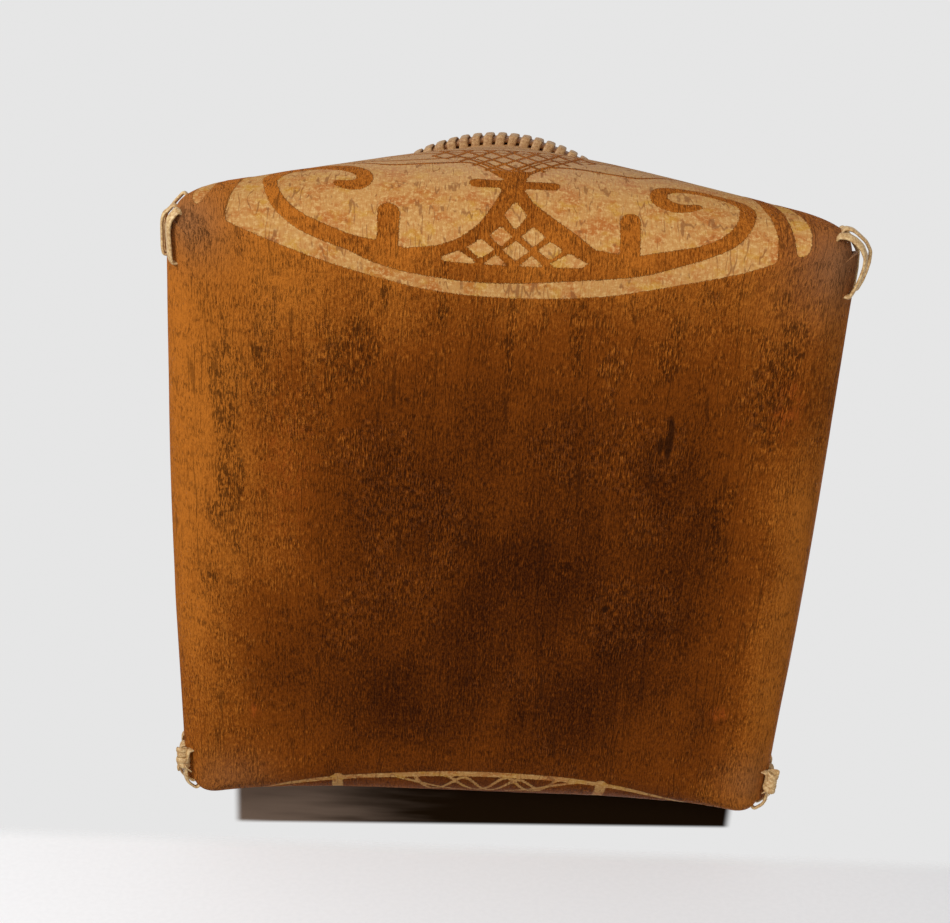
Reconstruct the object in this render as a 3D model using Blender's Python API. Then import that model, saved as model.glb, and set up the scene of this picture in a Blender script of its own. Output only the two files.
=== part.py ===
"""A birch bark basket that stands on its base, with its mouth up and its decorated front towards -Y.

One sheet of bark is slit at the four corners of the base and folded. The front and the back rise in wide,
soft folds and wrap round the corners, and the two end tabs fold up over them. The base is square and the
mouth is oval. Split root sews the four seams and binds an outer and an inner hoop to the rim.
"""

import math

import bmesh
import bpy
import numpy as np
from mathutils import Matrix, Quaternion, Vector

# The sheet, in metres
BARK = 0.002
HEIGHT = 0.144
RIM_BAND = 0.012

# Half the mouth's width and depth, to the outer face of the bark
RIM_WIDE = 0.093
RIM_DEEP = 0.121

# Each fold is a quarter of an ellipse, its reach by its height, and ends at the wall's widest place.
# The widest place of the end walls is measured from the rim
FRONT_WIDE = 0.134
FRONT_FOLD_REACH = 0.040
FRONT_FOLD = 0.043
SIDE_BULGE = 0.029
SIDE_FOLD_REACH = 0.021
SIDE_FOLD = 0.022
CORNER_SET_IN = 0.0005
CORNER_WIDE_Y = 0.1255
CORNER_FOLD_REACH = 0.0075
CORNER_FOLD = 0.012

# How late the walls lean in, and the share of each half wall that turns round the soft corner
WALL_EASE = 1.6
CORNER_EASE = 1.37
CORNER_ROUND = 0.22

# The end tabs: half their width and their edge's slope as shares of the end wall, the height
# over which they come to lie on the flaps, and how far below the rim band they are pared thin
TAB_EDGE_BASE = 0.93
TAB_EDGE_RIM = 0.62
TAB_SLOPE = 0.004
TAB_RISE = 0.010
TAB_PARED = 0.028

# The hoops
HOOP_HEIGHT = 0.0065
OUTER_HOOP_THICK = 0.002
INNER_HOOP_THICK = 0.002
HOOP_EDGE = 0.0006
HOOP_CLEAR = 0.0006
SCARF_ANGLE = math.radians(14)
SCARF_CUT = 0.0006
OUTER_SCARF_AT = math.radians(72)
INNER_SCARF_AT = math.radians(205)

# The split root
ROOT_WIDTH = 0.0028
ROOT_THICK = 0.0012
CLEAR = 0.0003
ROOT_TAIL = 0.006
HOLE_OVERRUN = 0.0008
SHARP_BEND = 0.4
RIM_ROOTS = 6
TURNS_PER_ROOT = 22
TURN_CORNER = 0.0014

# The seams: two close stitches over each base corner, then even ones up to the rim band
STITCH_REACH = 0.011
CORNER_STITCH_HEIGHT = 0.0075
CORNER_STITCH_GAP = 0.006
CORNER_STITCHES = 2
CORNER_SLACK = 0.0035
SEAM_STITCHES = 8
SEAM_END = 0.007
STITCH_SEAT = 0.0004

# How finely the surfaces are cut
ROWS = 12
ROW_CROWDING = 1.73
CORNER_COLUMNS = 3
WALL_COLUMNS = 8
HOOP_STEPS = 54
CORNER_POINTS = 4
SEAM_POINTS = 1
GAP_SAMPLES = 6
GAP_WALK = 3 * ROOT_WIDTH
RIM_SAMPLES = 2000

BARK_COLOUR = (0.33, 0.13, 0.035)
ROOT_COLOUR = (0.62, 0.42, 0.20)
HOOP_COLOUR = (0.50, 0.29, 0.12)
BARK_ROUGHNESS = 0.62
ROOT_ROUGHNESS = 0.5
HOOP_ROUGHNESS = 0.55
SMOOTH_BELOW = math.radians(40)

FRONT_FLAT = FRONT_WIDE - FRONT_FOLD_REACH
SIDE_WIDE = RIM_WIDE + SIDE_BULGE
SIDE_FLAT = SIDE_WIDE - SIDE_FOLD_REACH
CORNER_WIDE_X = SIDE_WIDE - CORNER_SET_IN
CORNER_FLAT_X = CORNER_WIDE_X - CORNER_FOLD_REACH
CORNER_FLAT_Y = CORNER_WIDE_Y - CORNER_FOLD_REACH
BAND_FOOT = HEIGHT - RIM_BAND
HOOP_FOOT = HEIGHT - HOOP_HEIGHT
RIM_LENGTH = math.pi * (RIM_WIDE + RIM_DEEP)
FACET_ROOM = (RIM_LENGTH / HOOP_STEPS) ** 2 * RIM_DEEP / (8 * RIM_WIDE**2)
EIGHTH_TURN = math.pi / 4
RIM_TURNS = RIM_ROOTS * TURNS_PER_ROOT


def clear_scene():
    for obj in list(bpy.data.objects):
        bpy.data.objects.remove(obj)


def collection(name):
    made = bpy.data.collections.new(name)
    bpy.context.scene.collection.children.link(made)
    return made


def add_object(bm, name, home):
    """Turns a bmesh into an object with its faces out."""
    bmesh.ops.recalc_face_normals(bm, faces=bm.faces)
    mesh = bpy.data.meshes.new(name)
    bm.to_mesh(mesh)
    bm.free()
    obj = bpy.data.objects.new(name, mesh)
    home.objects.link(obj)
    return obj


def finish(obj, colour, roughness):
    """Gives the object its own material, and smooth shading across its flatter edges."""
    material = bpy.data.materials.new(obj.name)
    material.use_nodes = True
    shader = material.node_tree.nodes["Principled BSDF"]
    shader.inputs["Base Color"].default_value = (*colour, 1)
    shader.inputs["Roughness"].default_value = roughness
    shader.inputs["Metallic"].default_value = 0
    obj.data.materials.append(material)
    obj.data.shade_smooth()
    obj.data.set_sharp_from_angle(angle=SMOOTH_BELOW)


def subtract(obj, cutter):
    cutter.hide_render = True
    cutter.display_type = "WIRE"
    cut = obj.modifiers.new(cutter.name, "BOOLEAN")
    cut.operation = "DIFFERENCE"
    cut.object = cutter


def smooth_step(share):
    share = min(max(share, 0), 1)
    return share * share * (3 - 2 * share)


# The outer face of the sheet, as a loft from the square base to the oval rim
def half_width(height, flat, wide, fold, at_rim, ease):
    """Distance from the middle at a height: out round the fold, then in to the rim."""
    turned = min(height / fold, 1)
    out = flat + (wide - flat) * math.sqrt(1 - (1 - turned) ** 2)
    lean = min(max((height - fold) / (BAND_FOOT - fold), 0), 1) ** ease
    return out + (at_rim - out) * lean


def wall_point(wall, share, height):
    """A point of wall 0 to 3 (front, right, back, left), at a share of -1 to 1 between its corners."""
    rim_x, rim_y = RIM_WIDE * math.sin(EIGHTH_TURN), RIM_DEEP * math.sin(EIGHTH_TURN)
    corner_x = half_width(height, CORNER_FLAT_X, CORNER_WIDE_X, CORNER_FOLD, rim_x, CORNER_EASE)
    corner_y = half_width(height, CORNER_FLAT_Y, CORNER_WIDE_Y, CORNER_FOLD, rim_y, CORNER_EASE)
    along = math.sin(share * EIGHTH_TURN) / math.sin(EIGHTH_TURN)
    belly = (math.cos(share * EIGHTH_TURN) - math.cos(EIGHTH_TURN)) / (1 - math.cos(EIGHTH_TURN))
    if wall % 2 == 0:
        middle = half_width(height, FRONT_FLAT, FRONT_WIDE, FRONT_FOLD, RIM_DEEP, WALL_EASE)
        x, y = corner_x * along, -corner_y - (middle - corner_y) * belly
    else:
        middle = half_width(height, SIDE_FLAT, SIDE_WIDE, SIDE_FOLD, RIM_WIDE, WALL_EASE)
        x, y = corner_x + (middle - corner_x) * belly, corner_y * along
    turn = 1 if wall < 2 else -1
    return Vector((x * turn, y * turn, height))


def outline(place, height):
    """A point of the outer face. A place counts 2 for each wall, from the front left corner to the right."""
    wall = int(place % 8 // 2)
    share = place % 2 - 1
    rounding = CORNER_ROUND * max(1 - (height / BAND_FOOT) ** 2, 0)
    if abs(share) <= 1 - rounding:
        return wall_point(wall, share, height)
    side = 1 if share > 0 else -1
    start = wall_point(wall, side * (1 - rounding), height)
    corner = wall_point(wall, side, height)
    end = wall_point((wall + side) % 4, -side * (1 - rounding), height)
    turned = (abs(share) - 1 + rounding) / (2 * rounding)
    return start * (1 - turned) ** 2 + corner * 2 * turned * (1 - turned) + end * turned**2


def sheet_frame(place, height):
    """(point, outward normal, upward direction, distance for each unit of place) on the outer face."""
    place_step, height_step = 1e-3, 1e-4
    around = outline(place + place_step, height) - outline(place - place_step, height)
    up = outline(place, height + height_step) - outline(place, max(height - height_step, 0))
    normal = around.cross(up).normalized() if height > 0 else Vector((0, 0, -1))
    return outline(place, height), normal, up.normalized(), around.length / (2 * place_step)


def tab_edge(height):
    return TAB_EDGE_BASE + (TAB_EDGE_RIM - TAB_EDGE_BASE) * height / HEIGHT


def tab_lift(height):
    """How far the tab stands off the flaps: one sheet, pared away to nothing under the hoops."""
    left = min(max((BAND_FOOT - height) / TAB_PARED, 0), 1)
    return BARK * smooth_step(height / TAB_RISE) * left


def spread(start, end, count, crowding=0):
    """Even values from the start up to, but not at, the end, or drawn towards both by the crowding."""
    even = [i / count for i in range(count)]
    shares = [share + crowding * ((1 - math.cos(math.pi * share)) / 2 - share) for share in even]
    return [start + (end - start) * share for share in shares]


def columns(height):
    """(place, whether it is on a tab) round the sheet, with a step at each edge of a tab."""
    found = []
    crowding = max(1 - height / BAND_FOOT, 0)
    for wall in range(4):
        has_tab = wall % 2 == 1
        inner = tab_edge(height) if has_tab else 1 - CORNER_ROUND
        step = TAB_SLOPE if has_tab else 0
        cells = [(share, False) for share in spread(-1, -inner, CORNER_COLUMNS)]
        if has_tab:
            cells.append((-inner, False))
        cells += [(share, has_tab) for share in spread(step - inner, inner - step, WALL_COLUMNS, crowding)]
        if has_tab:
            cells.append((inner - step, True))
        cells += [(share, False) for share in spread(inner, 1, CORNER_COLUMNS)]
        found += [(2 * wall + 1 + share, on_tab) for share, on_tab in cells]
    return found


def sheet_ring(bm, height, inside):
    ring = []
    for place, on_tab in columns(height):
        point, normal, _, _ = sheet_frame(place, height)
        lift = tab_lift(height) if on_tab else 0
        ring.append(bm.verts.new(point + normal * (-BARK if inside else lift)))
    return ring


def join_rings(bm, first, second):
    for i in range(len(first)):
        bm.faces.new((first[i - 1], first[i], second[i], second[i - 1]))


def bark_sheet(parts):
    """Base and walls as one closed loft: up the outer face, over the top edge and down the inner one."""
    bm = bmesh.new()
    heights = [BAND_FOOT * (row / ROWS) ** ROW_CROWDING for row in range(ROWS + 1)] + [HEIGHT]
    outer = [sheet_ring(bm, height, False) for height in heights]
    inner = [sheet_ring(bm, height, True) for height in heights]
    rings = outer + inner[::-1]
    bm.faces.new(rings[0])
    for first, second in zip(rings, rings[1:]):
        join_rings(bm, first, second)
    bm.faces.new(rings[-1])
    return add_object(bm, "bark_sheet", parts)


# Root: a flat strip swept along a path
def ribbon(name, path, across, home):
    """A strip of root that bends flat. across holds the way its width lies where it runs straight."""
    bm = bmesh.new()
    rings = []
    for i, point in enumerate(path):
        ahead = (path[min(i + 1, len(path) - 1)] - point).normalized()
        behind = (point - path[max(i - 1, 0)]).normalized()
        tangent = (ahead + behind).normalized()
        bend = behind.cross(ahead)
        if bend.length > SHARP_BEND:
            side = bend.normalized() * math.copysign(1, bend.dot(across[i]))
        else:
            side = (across[i] - tangent * across[i].dot(tangent)).normalized()
        mitre = 1 / max(tangent.dot(ahead if i == 0 else behind), math.cos(EIGHTH_TURN))
        half_width_vector = side * ROOT_WIDTH / 2
        half_thick_vector = tangent.cross(side) * ROOT_THICK / 2 * mitre
        signs = ((1, 1), (1, -1), (-1, -1), (-1, 1))
        rings.append([bm.verts.new(point + half_width_vector * w + half_thick_vector * t) for w, t in signs])
    for first, second in zip(rings, rings[1:]):
        join_rings(bm, first, second)
    bm.faces.new(rings[0])
    bm.faces.new(rings[-1])
    return add_object(bm, name, home)


def least_gap(path):
    """The least gap of a root to itself: between places well apart along it, less its width."""
    ends = np.array([tuple(point) for point in path])
    shares = np.linspace(0, 1, GAP_SAMPLES, endpoint=False)[:, None]
    samples = np.concatenate([start + (end - start) * shares for start, end in zip(ends, ends[1:])])
    steps = np.linalg.norm(np.diff(samples, axis=0, prepend=samples[:1]), axis=1)
    walked = np.cumsum(steps)
    apart = np.linalg.norm(samples[:, None] - samples, axis=2)
    return apart[np.abs(walked[:, None] - walked) > GAP_WALK].min() - ROOT_WIDTH


def root(name, path, across, parts):
    print(f"{name}: least gap to itself {1000 * least_gap(path):.2f} mm")
    return ribbon(name, path, across, parts)


def towards(start, end, length):
    return start + (end - start).normalized() * length


def hole(bm, centre, through, across, root_height, depth):
    """A box just through the sheet, wider and higher than the root by the clearance all round."""
    across = (across - through * across.dot(through)).normalized()
    third = through.cross(across)
    sizes = (ROOT_WIDTH + 2 * CLEAR, root_height + 2 * CLEAR, depth + 2 * HOLE_OVERRUN)
    turned = Matrix((across, third, through)).transposed()
    placed = Matrix.LocRotScale(centre, turned.to_quaternion(), Vector(sizes))
    bmesh.ops.create_cube(bm, size=1, matrix=placed)


# The rim
def outwards(angle):
    """The way straight out from the oval rim. An angle gives a place on the oval as on a circle."""
    return Vector((RIM_DEEP * math.cos(angle), RIM_WIDE * math.sin(angle), 0)).normalized()


def along_rim(angle):
    return Vector((0, 0, 1)).cross(outwards(angle))


def around_rim(angle, offset, height):
    """A point beside the rim, offset from the outer face of the bark."""
    on_rim = Vector((RIM_WIDE * math.cos(angle), RIM_DEEP * math.sin(angle), height))
    return on_rim + outwards(angle) * offset


def rim_angle(share):
    """The angle at a share of the whole way round, from the front at -Y."""
    angles = np.linspace(-math.pi / 2, 3 * math.pi / 2, RIM_SAMPLES + 1)
    steps = np.hypot(RIM_WIDE * np.diff(np.cos(angles)), RIM_DEEP * np.diff(np.sin(angles)))
    walked = np.concatenate(([0], np.cumsum(steps))) / steps.sum()
    rounds = math.floor(share)
    return 2 * math.pi * rounds + float(np.interp(share - rounds, walked, angles))


def turn_angle(turn):
    """The front of the basket lies midway between two turns."""
    return rim_angle((turn + 0.5) / RIM_TURNS)


def rim_foot():
    """Height of the holes, and of the root's middle line under the hoops."""
    return HOOP_FOOT - CLEAR - ROOT_THICK / 2


def rim_turn():
    """(offset, height, share of a turn since the hole) at each bend of the root's middle line."""
    outer = HOOP_CLEAR + OUTER_HOOP_THICK + CLEAR + ROOT_THICK / 2
    inner = -BARK - HOOP_CLEAR - INNER_HOOP_THICK - CLEAR - FACET_ROOM - ROOT_THICK / 2
    top = HEIGHT + CLEAR + ROOT_THICK / 2
    bends = (
        Vector((inner, rim_foot())),
        Vector((outer, rim_foot())),
        Vector((outer, top - TURN_CORNER)),
        Vector((outer - TURN_CORNER, top)),
        Vector((inner + TURN_CORNER, top)),
        Vector((inner, top - TURN_CORNER)),
    )
    lengths = [(bend - bends[i - 1]).length for i, bend in enumerate(bends)]
    walked = [sum(lengths[1 : i + 1]) - (-BARK / 2 - inner) for i in range(len(bends))]
    return [(*bend, length / sum(lengths)) for bend, length in zip(bends, walked)]


def rim_root(number, parts):
    """One root, wound evenly: out through each hole, up over both hoops and down to the next hole."""
    first = number * TURNS_PER_ROOT
    path, across = [], []
    for turn in range(first, first + TURNS_PER_ROOT):
        for offset, height, share in rim_turn():
            angle = turn_angle(turn + share)
            path.append(around_rim(angle, offset, height))
            across.append(along_rim(angle))
    offset, height, share = rim_turn()[0]
    next_hole = around_rim(turn_angle(first + TURNS_PER_ROOT + share), offset, height)
    path.append(towards(path[-1], next_hole, ROOT_TAIL))
    across.append(across[-1])
    return root(f"rim_root_{number + 1}", path, across, parts)


def rim_holes(cutters):
    bm = bmesh.new()
    for turn in range(RIM_TURNS):
        angle = turn_angle(turn)
        middle = around_rim(angle, -BARK / 2, rim_foot())
        hole(bm, middle, outwards(angle), along_rim(angle), ROOT_THICK, BARK)
    return add_object(bm, "rim_holes", cutters)


def hoop(name, inner, thick, scarf_angle, parts, cutters):
    """A split-wood strip bent round the rim, with its two ends cut on a slant where they meet."""
    outer = inner + thick
    profile = (
        (outer, HEIGHT - HOOP_EDGE),
        (outer, HOOP_FOOT + HOOP_EDGE),
        (outer - HOOP_EDGE, HOOP_FOOT),
        (inner + HOOP_EDGE, HOOP_FOOT),
        (inner, HOOP_FOOT + HOOP_EDGE),
        (inner, HEIGHT - HOOP_EDGE),
        (inner + HOOP_EDGE, HEIGHT),
        (outer - HOOP_EDGE, HEIGHT),
    )
    bm = bmesh.new()
    rings = []
    for step in range(HOOP_STEPS):
        angle = rim_angle(step / HOOP_STEPS)
        rings.append([bm.verts.new(around_rim(angle, offset, height)) for offset, height in profile])
    for i in range(HOOP_STEPS):
        join_rings(bm, rings[i - 1], rings[i])
    obj = add_object(bm, name, parts)
    subtract(obj, scarf(name + "_scarf", inner + thick / 2, thick, scarf_angle, cutters))
    return obj


def scarf(name, offset, thick, angle, cutters):
    """A thin slanted box that parts the two ends of a hoop."""
    bm = bmesh.new()
    length = 2 * thick / math.sin(SCARF_ANGLE)
    faces = math.atan2(outwards(angle).y, outwards(angle).x)
    turned = Matrix.Rotation(faces + SCARF_ANGLE, 4, "Z")
    placed = Matrix.Translation(around_rim(angle, offset, HEIGHT - HOOP_HEIGHT / 2)) @ turned
    sized = placed @ Matrix.Diagonal((SCARF_CUT, length, 2 * HOOP_HEIGHT, 1))
    bmesh.ops.create_cube(bm, size=1, matrix=sized)
    return add_object(bm, name, cutters)


# The seams
def stitch_heights():
    """A close pair over the base corner, then even stitches up to the rim band."""
    close = [CORNER_STITCH_HEIGHT + i * CORNER_STITCH_GAP for i in range(CORNER_STITCHES)]
    first = close[-1] + CORNER_STITCH_GAP
    pitch = (BAND_FOOT - SEAM_END - first) / (SEAM_STITCHES - 1)
    return close + [first + i * pitch for i in range(SEAM_STITCHES)]


def stitch_places(wall, side, height):
    """The places of a stitch's two holes: in the flap, towards the corner, and in the tab."""
    edge = 2 * wall + 1 + side * tab_edge(height)
    reach = side * STITCH_REACH / sheet_frame(edge, height)[3]
    return edge + reach, edge - reach


def seam_root(name, wall, side, parts):
    """One root: level across the tab's edge outside, and slanting up to the next stitch inside."""
    path, across = [], []

    def add(place, height, offset, climb=0):
        point, normal, up, _ = sheet_frame(place, height)
        path.append(point + normal * offset)
        across.append(Quaternion(normal, side * climb) @ up)

    outside = CLEAR + ROOT_THICK / 2
    inside = -BARK - CLEAR - STITCH_SEAT - ROOT_THICK / 2
    heights = stitch_heights()
    climbs = [math.atan2(after - height, 2 * STITCH_REACH) for height, after in zip(heights, heights[1:])]
    tail = side * ROOT_TAIL / STITCH_REACH / 2
    for number, (height, climb, next_climb) in enumerate(zip(heights, [0] + climbs, climbs + [0])):
        flap, tab = stitch_places(wall, side, height)
        at_corner = number < CORNER_STITCHES
        points = CORNER_POINTS if at_corner else SEAM_POINTS
        slack = CORNER_SLACK if at_corner else 0
        if number == 0:
            add(flap + tail * abs(flap - tab), height, inside)
        add(flap, height, inside, climb)
        add(flap, height, outside)
        for i in range(1, points + 1):
            share = i / (points + 1)
            bow = STITCH_SEAT + slack * math.sin(share * math.pi)
            add(flap + (tab - flap) * share, height, outside + tab_lift(height) + bow)
        add(tab, height, outside + tab_lift(height))
        add(tab, height, inside, next_climb)
    add(tab + tail * abs(flap - tab), height, inside)
    return root(name, path, across, parts)


def seam_holes(name, wall, side, cutters):
    """Awl holes, as high as they are wide, since the root turns in them."""
    bm = bmesh.new()
    for height in stitch_heights():
        for place, lift in zip(stitch_places(wall, side, height), (0, tab_lift(height))):
            point, normal, up, _ = sheet_frame(place, height)
            hole(bm, point + normal * (lift - BARK) / 2, normal, up, ROOT_WIDTH, BARK + lift)
    return add_object(bm, name + "_holes", cutters)


def main():
    clear_scene()
    parts = collection("birch_bark_basket")
    cutters = collection("cutters")

    bark = bark_sheet(parts)
    seams = (
        ("seam_root_front_right", 1, -1),
        ("seam_root_back_right", 1, 1),
        ("seam_root_back_left", 3, -1),
        ("seam_root_front_left", 3, 1),
    )
    roots = [seam_root(name, wall, side, parts) for name, wall, side in seams]
    roots += [rim_root(number, parts) for number in range(RIM_ROOTS)]
    for name, wall, side in seams:
        subtract(bark, seam_holes(name, wall, side, cutters))
    subtract(bark, rim_holes(cutters))
    finish(bark, BARK_COLOUR, BARK_ROUGHNESS)
    for strand in roots:
        finish(strand, ROOT_COLOUR, ROOT_ROUGHNESS)

    outside = HOOP_CLEAR
    inside = -BARK - HOOP_CLEAR - INNER_HOOP_THICK
    hoops = (
        hoop("outer_hoop", outside, OUTER_HOOP_THICK, OUTER_SCARF_AT, parts, cutters),
        hoop("inner_hoop", inside, INNER_HOOP_THICK, INNER_SCARF_AT, parts, cutters),
    )
    for ring in hoops:
        finish(ring, HOOP_COLOUR, HOOP_ROUGHNESS)


main()
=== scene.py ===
"""Dresses a folded birch bark basket: scraped bark, split root and split-wood hoops, in a pale studio."""

import math

import bpy
import numpy as np
from mathutils import Matrix, Vector

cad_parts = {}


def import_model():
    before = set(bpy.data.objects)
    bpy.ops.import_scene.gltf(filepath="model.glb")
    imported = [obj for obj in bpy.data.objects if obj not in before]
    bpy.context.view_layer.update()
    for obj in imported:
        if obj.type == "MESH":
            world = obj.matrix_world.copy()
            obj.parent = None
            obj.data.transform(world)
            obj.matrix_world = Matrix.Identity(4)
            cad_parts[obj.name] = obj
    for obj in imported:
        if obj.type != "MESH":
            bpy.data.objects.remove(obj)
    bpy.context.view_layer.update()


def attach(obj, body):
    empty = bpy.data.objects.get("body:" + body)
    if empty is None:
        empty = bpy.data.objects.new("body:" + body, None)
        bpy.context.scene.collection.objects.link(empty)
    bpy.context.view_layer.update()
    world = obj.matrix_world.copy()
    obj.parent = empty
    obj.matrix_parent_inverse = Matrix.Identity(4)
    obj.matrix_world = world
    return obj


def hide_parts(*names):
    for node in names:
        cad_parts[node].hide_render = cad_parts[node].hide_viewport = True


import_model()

# The basket's shape, in metres, as in its source
BARK = 0.002
HEIGHT = 0.144
RIM_WIDE = 0.093
RIM_DEEP = 0.121
RIM_BAND = 0.012
BAND_FOOT = HEIGHT - RIM_BAND
FRONT_WIDE = 0.134
FRONT_FLAT = FRONT_WIDE - 0.040
FRONT_FOLD = 0.043
SIDE_WIDE = 0.122
SIDE_FLAT = SIDE_WIDE - 0.021
SIDE_FOLD = 0.022
CORNER_WIDE = (0.1180, 0.1255)
CORNER_REACH = 0.0075
CORNER_FOLD = 0.012
WALL_EASE = 1.6
CORNER_EASE = 1.37
CORNER_ROUND = 0.13
TAB_EDGE_BASE = 0.93
TAB_EDGE_RIM = 0.62
TAB_RISE = 0.010
TAB_PARED = 0.028
EIGHTH_TURN = math.pi / 4

HOOP_HEIGHT = 0.0065
OUTER_HOOP_THICK = 0.002
INNER_HOOP_THICK = 0.002
HOOP_EDGE = 0.0006
HOOP_CLEAR = 0.0006
HOOP_STEPS = 54
SCARF_ANGLE = math.radians(14)
SCARF_CUT = 0.0006
OUTER_SCARF_AT = math.radians(72)
INNER_SCARF_AT = math.radians(205)
HOOP_FOOT = HEIGHT - HOOP_HEIGHT
ROOT_WIDTH = 0.0028
RIM_ROOT_WIDTH = 0.0038
ROOT_THICK = 0.0012
CLEAR = 0.0003
ROOT_TAIL = 0.006
RIM_ROOTS = 6
TURN_CORNER = 0.0014
STITCH_REACH = 0.011
CORNER_STITCH_HEIGHT = 0.0052
CORNER_STITCH_GAP = 0.0056
CORNER_STITCHES = 2
CORNER_ROOT_WIDTH = 0.0036
KNOT_AT = (0.0085, 0.0058)
KNOT_TURNS = 4
KNOT_LONG = 0.0075
KNOT_ROUND = 0.0021
KNOT_ROOT_WIDTH = 0.0024
FRAYED_ENDS = 3
FIBRE_LONG = 0.0075
FIBRE_WIDTH = 0.0011
FIBRE_THICK = 0.0006
FIBRE_DROOP = 0.002
FIBRE_LOWEST = 0.0008
# Each seam: its corner, end wall and side of it, its first holes' reach round the corner, and its slack
SEAMS = (
    ("back_right", 1, 1, 0.005, 0.0006),
    ("back_left", 3, -1, 0.005, 0.0006),
    ("front_right", 1, -1, 0.011, 0.0026),
    ("front_left", 3, 1, 0.0045, 0),
)
SEAM_STITCHES = 8
SEAM_END = 0.007
STITCH_SEAT = 0.0004
TURNS_PER_ROOT = 22
RIM_TURNS = RIM_ROOTS * TURNS_PER_ROOT
FACET_ROOM = (math.pi * (RIM_WIDE + RIM_DEEP) / HOOP_STEPS) ** 2 * RIM_DEEP / (8 * RIM_WIDE**2)

# How finely things are modelled, and how the hidden flaps lie under the end tabs
CELL = 0.001
WALL_LONG = 0.164
TAB_LONG = 0.150
TAB_WIDE = 0.2
BASE_WIDE = 0.24
HOOP_RINGS = 361
ROOT_SIDES = 10
ROOT_BEND = 0.0009
FLAP_THIN = 0.0002
TAB_COVER = 0.012

# The camera, solved from the photograph, and the studio
CAMERA_AT = (-0.02674, -0.23901, -0.45680)
CAMERA_FORWARD = (0.03427, 0.40963, 0.91161)
CAMERA_UP = (-0.04616, -0.91052, 0.41088)
CAMERA_LENS = 52.41
BACKGROUND = (0.79, 0.79, 0.79, 1)
FLOOR = (0.89, 0.89, 0.89, 1)
FLOOR_LIGHT = (0.91, 0.91, 0.91, 1)
SHADE = (0.010, 0.005, 0.002, 1)
SHADE_THIN = (0.16, 0.11, 0.08, 1)
AMBIENT = (0.36, 0.36, 0.37, 1)
# Both tables: half their width, and where they begin and end
TABLE_BEHIND = (0.26, -0.36, -0.0002)
TABLE_BELOW = (0.6, -0.6, 0.6)
TABLE_GAP = 0.0005
TABLE_CLEAR = 0.0043
# The deep shade under the basket's back: its height, its inner edge and (across, back) of its outer corners
SHADE_HEIGHT = 0.016
SHADE_INSIDE = 0.119
SHADE_ENDS = ((-0.102, 0.1464), (0.110, 0.1399))

# The scraped ornament on the front, in millimetres from the wall's middle and up from the base's edge.
# Strokes are (across, up, half width) along their middle line
FIELD = (
    (-99.4, 8.2), (-94, 7.3), (-83, 6.2), (-70, 5), (-62.6, 4.5), (-53.2, 3.7), (-42.5, 3), (-34, 2.1),
    (-20, 1.7), (0, 1.8), (20, 2.1), (34, 2.5), (46, 3.4), (57, 4), (68, 4.3), (79, 4.4), (90.3, 5.3),
    (90.2, 16), (88.8, 25.5), (87.4, 32.3), (86.5, 42), (83, 70), (78, 100), (72, 135), (68, 160),
    (-72, 160), (-78, 135), (-86, 100), (-92, 70), (-96.4, 42.8), (-97, 32), (-97.9, 23), (-98.8, 15.8),
)
SIDE_STRIPS = (
    ((99.3, 7.6, 2.4), (98.8, 15, 3), (97.6, 23, 3), (96.6, 30, 2.6), (94, 45, 2.4), (89, 75, 2.2)),
    ((-109, 13, 1), (-108.8, 16, 2), (-107.8, 23, 2.6), (-106.8, 32, 2.4), (-104, 48, 2.4), (-99, 75, 2)),
)
BAND = (
    (-62.3, 38.4, 1.9), (-58, 38.3, 2.9), (-54.4, 40, 2.9), (-53.4, 45, 3), (-56.5, 49.5, 3.2),
    (-63, 53, 3.4), (-71, 54.5, 3.6), (-79, 52, 3.6), (-84, 46.5, 3.3), (-86.2, 38.5, 2.8),
    (-85.6, 32.5, 2.5), (-83.6, 26.5, 2.8), (-80.5, 21.5, 3.2), (-74, 17.3, 3.3), (-66.6, 15.3, 3.2),
    (-57, 13.6, 3), (-49, 12.4, 3.9), (-38, 11.2, 4.1), (-27, 10.5, 3.8), (-14, 10, 3.5), (0, 10, 3),
    (14, 11, 3.1), (24, 11.8, 3.5), (34.8, 12.7, 4.2), (43.2, 12.5, 3.8), (56, 13.8, 3.2), (63, 14.6, 2.8),
    (70, 16.2, 2.8), (75.2, 18.8, 3.2), (79, 23.5, 3), (80.9, 29.8, 3), (80.3, 34.5, 2.3),
    (76.3, 39.3, 1.7), (69, 43.2, 1.5), (62.5, 45.6, 1.5), (56, 46, 1.9), (51, 44.3, 2.9),
    (50.2, 39.8, 3.2), (53.5, 36, 2.6), (58.5, 34.4, 2.2), (63.6, 34.9, 1.5),
)
TRIANGLE = (
    (-38, 11), (-37.5, 15.4), (-26.7, 17.8), (-20.2, 20.9), (-17, 23.4), (-12.8, 27.4), (-8.2, 35),
    (-5.5, 42), (-4.5, 49), (-8, 52), (-9.5, 54.5), (6.8, 55), (4.9, 52.5), (3.6, 49.5), (2.6, 43.2),
    (5.8, 37), (13, 30.6), (21.9, 23.6), (27.4, 19), (35.7, 17), (36, 11),
)
BARS = (
    ((-43.9, 12, 3.7), (-43.9, 20, 3.7), (-44, 27.6, 3.9)),
    ((39.4, 12, 3.5), (39.4, 20, 3.5), (39.4, 29, 3.6)),
    ((-5, 45.8, 2.2), (-10, 45.8, 2.2), (-14.2, 45.7, 2.4)),
    ((4, 45.8, 2.1), (9, 45.9, 2.1), (13.2, 45.8, 2.1)),
)
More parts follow.
